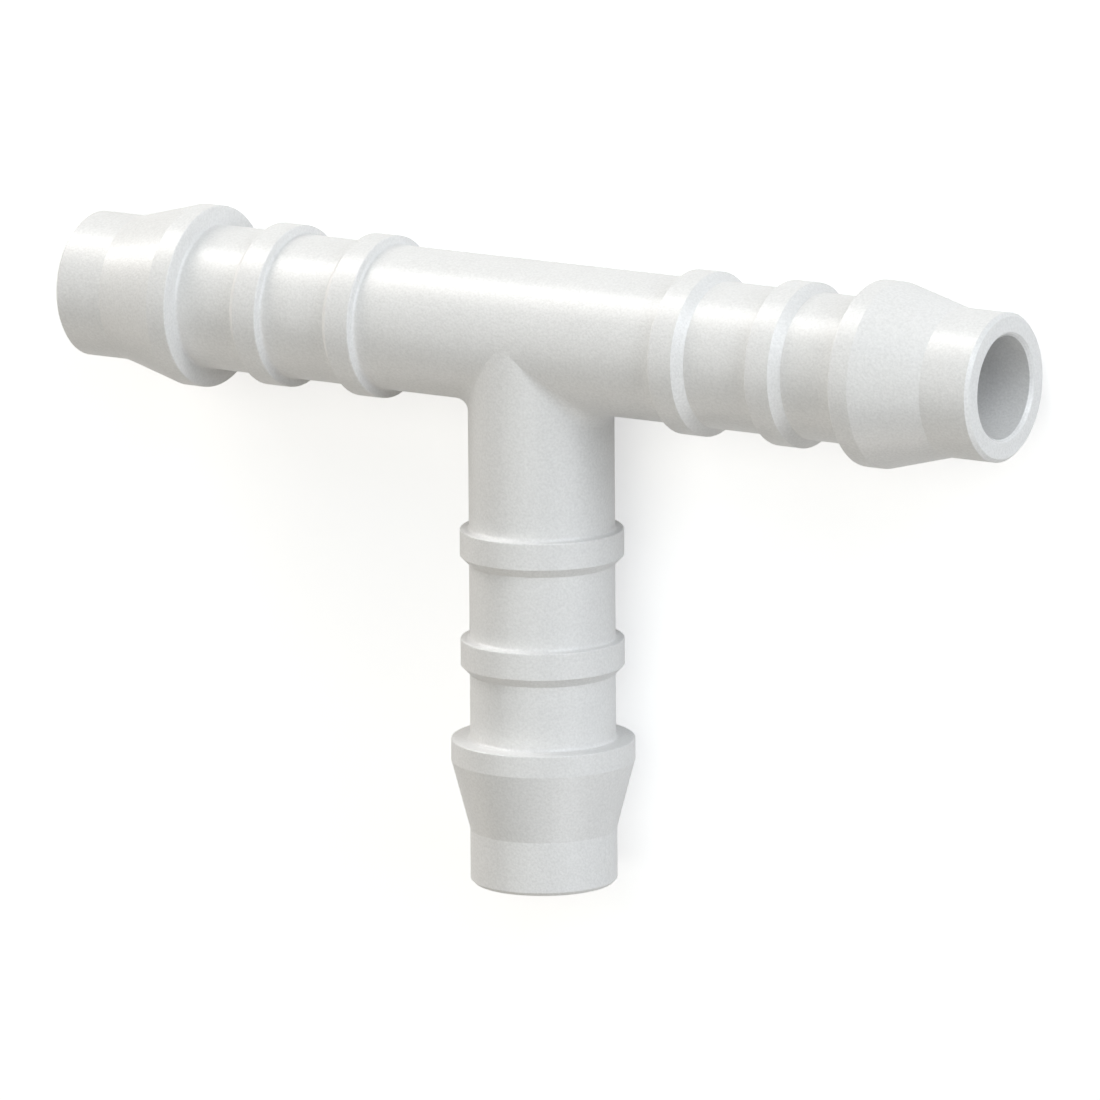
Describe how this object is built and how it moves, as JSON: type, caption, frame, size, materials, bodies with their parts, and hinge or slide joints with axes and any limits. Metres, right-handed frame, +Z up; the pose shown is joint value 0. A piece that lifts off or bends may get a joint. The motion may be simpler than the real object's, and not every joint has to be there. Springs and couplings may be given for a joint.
{
  "type": "hose barb tee",
  "caption": "Moulded plastic tee that joins three hoses: a straight run and a branch at right angles, each arm with a main barb, grip rings and a through passage.",
  "frame": {"origin": "where the axis of the run crosses the axis of the branch", "axes": "+X along the run, -Y along the branch to its tip, +Z up when the tee lies flat on its three main barbs"},
  "size_m": [0.0738, 0.0445, 0.0126],
  "materials": {
    "body": "satin white moulded plastic with a very fine grain"
  },
  "bodies": {
    "root": {"tee_body": "body"}
  },
  "joints": []
}
